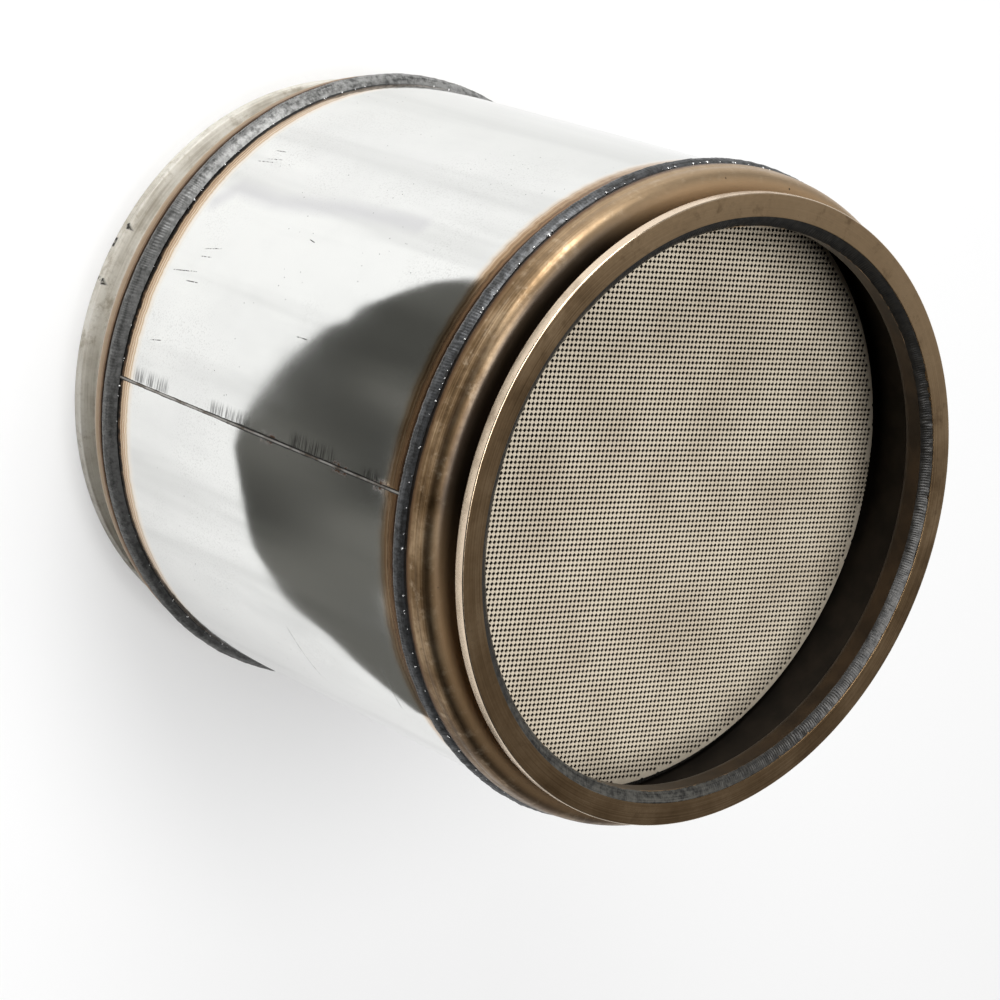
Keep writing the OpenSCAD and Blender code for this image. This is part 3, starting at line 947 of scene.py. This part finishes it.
# %% Weld finish
def weld_finish(name, dark, light, roughness, metallic=0.85, lit_side=None):
    """lit_side, if given, is (X where the painted light starts, X where it is full, its lighter grey)."""
    f = Finish(name)
    scale = f.noise(330.0, 5.0, rough=0.68)
    drawn = f.streaks(1100.0, 26.0)
    fine = f.noise(1100.0, 3.0)
    tone = f.math("ADD", f.math("MULTIPLY", scale, 0.6), f.math("MULTIPLY", drawn, 0.4))
    if lit_side:
        # Painted light: towards one side the light tone turns to a lighter grey.
        start, end, lit_grey = lit_side
        light = f.mix(f.fade(f.side(), start, end), light, lit_grey)
    colour = f.mix(f.fade(tone, 0.36, 0.62), dark, light)
    rough = f.fade(tone, 0.3, 0.7, roughness + 0.14, roughness)
    return f.done(Base_Color=colour, Metallic=metallic, Roughness=rough, Normal=f.bump(fine, 0.00007, 0.7))


def seam_finish():
    """Dark toes on both sides of a thin bright crest, dulled in places."""
    f = Finish("seam_steel")
    angle, _ = f.round_can()
    beside = f.math("ABSOLUTE", f.math("MULTIPLY", f.math("SUBTRACT", angle, seam_angle), shell_r / MM))
    crest = f.mix(f.fade(f.noise(90.0, 4.0), 0.40, 0.66), (0.42, 0.405, 0.38), (0.12, 0.095, 0.07))
    colour = f.mix(f.fade(beside, 0.28, 0.62), crest, (0.030, 0.028, 0.025))
    return f.done(Base_Color=colour, Metallic=1.0, Roughness=0.3, Normal=f.bump(f.noise(1100.0, 3.0), 0.00005, 0.6))


slate = weld_finish("weld_slate", (0.038, 0.038, 0.037), (0.120, 0.123, 0.127), 0.36)
outlet_slate = weld_finish("outlet_weld_slate", (0.070, 0.070, 0.067), (0.19, 0.19, 0.185), 0.42, 0.7,
                           lit_side=(-0.02, -0.14, (0.35, 0.35, 0.34)))
ring_slate = weld_finish("ring_weld_slate", (0.005, 0.0045, 0.004), (0.018, 0.016, 0.013), 0.30, 0.3,
                         lit_side=(0.085, 0.14, (0.085, 0.082, 0.072)))
bright_drop = weld_finish("spatter_metal", (0.35, 0.35, 0.35), (0.80, 0.80, 0.79), 0.16, 1.0)
dress(inlet_bead, slate)
dress(outlet_bead, outlet_slate)
for piece in (inlet_ring_bead, outlet_ring_bead):
    dress(piece, ring_slate)
dress(seam, seam_finish())
for piece in (inlet_spatter, outlet_spatter):
    dress(piece, bright_drop)
print("weld finishes done")

# %% [markdown]
# ## Fired ceramic, mat and seals
# The honeycomb is matte and beige. Its cells are dark inside, because light that falls in is lost
# after a few bounces. The depth attribute says how far down a point is.

# %% Ceramic, mat and seal finishes
def ceramic_finish():
    f = Finish("fired_ceramic")
    depth = f.add("ShaderNodeAttribute", attribute_name="depth").outputs["Fac"]
    cloud = f.noise(26.0, 4.0)
    grit = f.noise(1500.0, 3.0)
    plug = f.mix(f.fade(cloud, 0.35, 0.7), (0.60, 0.53, 0.415), (0.50, 0.43, 0.33))
    plug = f.mix(f.fade(grit, 0.45, 0.8, 0.0, 0.38), plug, (0.36, 0.30, 0.225))
    colour = f.mix(f.fade(depth, 0.0, 0.14), plug, (0.020, 0.014, 0.009))
    return f.done(Base_Color=colour, Roughness=0.92, Normal=f.bump(grit, 0.00006, 0.5))


def fibre_finish(name, light, dark, metallic, scale):
    f = Finish(name)
    tangle = f.noise(scale, 6.0, rough=0.7)
    colour = f.ramp(tangle, [(0.35, dark), (0.65, light)])
    return f.done(Base_Color=colour, Metallic=metallic, Roughness=0.8, Normal=f.bump(tangle, 0.0004))


ceramic = ceramic_finish()
for piece in (inlet_face, outlet_face, brick_side):
    dress(piece, ceramic)
dress(frame["nodes"]["support_mat"], fibre_finish("mat_felt", (0.80, 0.77, 0.70), (0.55, 0.52, 0.45), 0.0, 300.0))
mesh_wire = fibre_finish("knitted_wire", (0.10, 0.09, 0.08), (0.012, 0.011, 0.010), 0.8, 700.0)
for node in ("inlet_seal", "outlet_seal"):
    dress(frame["nodes"][node], mesh_wire)
print("ceramic, mat and seal finishes done")

# %% [markdown]
# ## Floor and light
# Polished steel looks like whatever is round it, so the room matters as much as the metal. The floor
# is white. One large soft lamp hangs over the can and a smaller one stands low at its left. The room
# is darker at the viewer's side than at the back, which gives the bends their dark and bright lines.

# %% Floor
def floor_finish():
    """White paper: part of what the eye and the metal see of it is even white, and the rest is lit."""
    f = Finish("white_paper")
    ray = f.add("ShaderNodeLightPath").outputs
    seen = f.math("MAXIMUM", f.math("MAXIMUM", ray["Is Camera Ray"], ray["Is Glossy Ray"]), ray["Is Transmission Ray"])
    paper = f.add("ShaderNodeBsdfDiffuse", {"Color": (0.88, 0.88, 0.88, 1)}).outputs[0]
    white = f.add("ShaderNodeEmission", {"Color": (1, 1, 1, 1), "Strength": 1.0}).outputs[0]
    mixed = f.add("ShaderNodeMixShader", {0: f.math("MULTIPLY", seen, 0.45), 1: paper, 2: white}).outputs[0]
    f.add("ShaderNodeOutputMaterial", {"Surface": mixed})
    return f.material


def stage_mesh(name, points, faces, material):
    mesh = bpy.data.meshes.new(name)
    mesh.from_pydata(points, [], faces)
    mesh.materials.append(material)
    card = bpy.data.objects.new(name, mesh)
    bpy.context.scene.collection.objects.link(card)
    return card


FLOOR_HALF = 15.0
floor = stage_mesh("floor", [(-FLOOR_HALF, -FLOOR_HALF, 0), (FLOOR_HALF, -FLOOR_HALF, 0), (FLOOR_HALF, FLOOR_HALF, 0),
                             (-FLOOR_HALF, FLOOR_HALF, 0)], [(0, 1, 2, 3)], floor_finish())

# %% [markdown]
# A curved dark card lies on the floor in front of the can. Only the metal sees it. It puts the deep
# charcoal zone into the shell's lower left side, which makes the steel look polished.

# %% Dark card
CARD_TURN = (222, 229, 240, 262, 280, 300, 326, 344, 363, 372, 380)
CARD_INNER = (0.43, 0.398, 0.36, 0.312, 0.29, 0.272, 0.272, 0.287, 0.32, 0.335, 0.43)
CARD_SLIT = (0.0, 0.0, 0.0, 0.0, 0.0, 0.005, 0.012, 0.012, 0.004, 0.0, 0.0)
CARD_MIDDLE = 0.396
CARD_OUTER = 0.430


def dark_card(steps=120):
    """Two strips with a narrow slit between them: radii in metres at a few directions, joined smoothly."""
    f = Finish("black_card")
    shade = f.mix(f.fade(f.noise(4.5, 1.0), 0.36, 0.66), (0.055, 0.055, 0.050), (0.135, 0.133, 0.122))
    f.add("ShaderNodeOutputMaterial", {"Surface": f.add("ShaderNodeBsdfDiffuse", {"Color": shade}).outputs[0]})
    turn = np.linspace(CARD_TURN[0], CARD_TURN[-1], steps)
    inner, slit = np.interp(turn, CARD_TURN, CARD_INNER), np.interp(turn, CARD_TURN, CARD_SLIT)
    before, after = CARD_MIDDLE - slit, CARD_MIDDLE + slit
    radii = np.minimum(inner, before), before, np.maximum(inner, after), np.full(steps, CARD_OUTER)
    a = np.radians(turn)
    edge = [np.stack([r * np.cos(a), r * np.sin(a), np.full(steps, 1.0 * MM)], 1) for r in radii]
    k = np.arange(steps - 1)
    strip = np.stack([k, k + steps, k + steps + 1, k + 1], 1)
    card = stage_mesh("dark_card", np.vstack(edge), np.vstack([strip, strip + 2 * steps]).tolist(), f.material)
    card.visible_camera = card.visible_diffuse = card.visible_shadow = False
    return card


dark_card()

# %% [markdown]
# The lamps' places decide where the shadows fall. The upper lamp keeps its shadow short and soft, and
# leans to the viewer's side so that the mouth's rim puts no shade on the part of the brick that shows.

# %% Lamps and world
def lamp(name, place, aim, size, power):
    data = bpy.data.lights.new(name, "AREA")
    data.shape, data.size, data.energy = "DISK", size, power
    light = bpy.data.objects.new(name, data)
    bpy.context.scene.collection.objects.link(light)
    back = np.array(place, float) - np.array(aim, float)
    back /= np.linalg.norm(back)
    right = np.cross((0, 0, 1.0), back)
    right /= np.linalg.norm(right)
    pose = np.eye(4)
    pose[:3, :3] = np.stack([right, np.cross(back, right), back], axis=1)
    pose[:3, 3] = place
    light.matrix_world = Matrix(pose.tolist())
    return light


lamp("key", (-0.35, -0.6, 3.4), (0, 0, 0.2), 2.2, 108.0)
lamp("fill", (-1.9, -1.5, 1.15), (0, 0, 0.15), 1.6, 46.0)

ROOM = ((0.30, 0.02), (0.50, 0.08), (0.78, 0.34), (1.0, 0.50))
ROOM_BRIGHT = (-0.6, 0.8, 0.0)


def room():
    """World light by direction: dim at the viewer's side and brighter behind the can."""
    world = bpy.data.worlds.new("room")
    world.use_nodes = True
    tree = world.node_tree
    tree.nodes.clear()
    where = tree.nodes.new("ShaderNodeTexCoord")
    part = tree.nodes.new("ShaderNodeVectorMath")
    part.operation = "DOT_PRODUCT"
    part.inputs[1].default_value = ROOM_BRIGHT
    ramp = tree.nodes.new("ShaderNodeValToRGB")
    place = tree.nodes.new("ShaderNodeMapRange")
    shade = tree.nodes.new("ShaderNodeBackground")
    out = tree.nodes.new("ShaderNodeOutputWorld")
    place.inputs[1].default_value, place.inputs[2].default_value = -1.0, 1.0
    while len(ramp.color_ramp.elements) < len(ROOM):
        ramp.color_ramp.elements.new(1.0)
    for element, (spot, level) in zip(ramp.color_ramp.elements, ROOM):
        element.position, element.color = spot, (level, level, level, 1)
    tree.links.new(where.outputs["Generated"], part.inputs[0])
    tree.links.new(part.outputs["Value"], place.inputs[0])
    tree.links.new(place.outputs[0], ramp.inputs[0])
    tree.links.new(ramp.outputs[0], shade.inputs[0])
    tree.links.new(shade.outputs[0], out.inputs[0])
    bpy.context.scene.world = world


room()
bpy.context.scene.view_settings.view_transform = "Standard"
print("floor, lamps and room done")
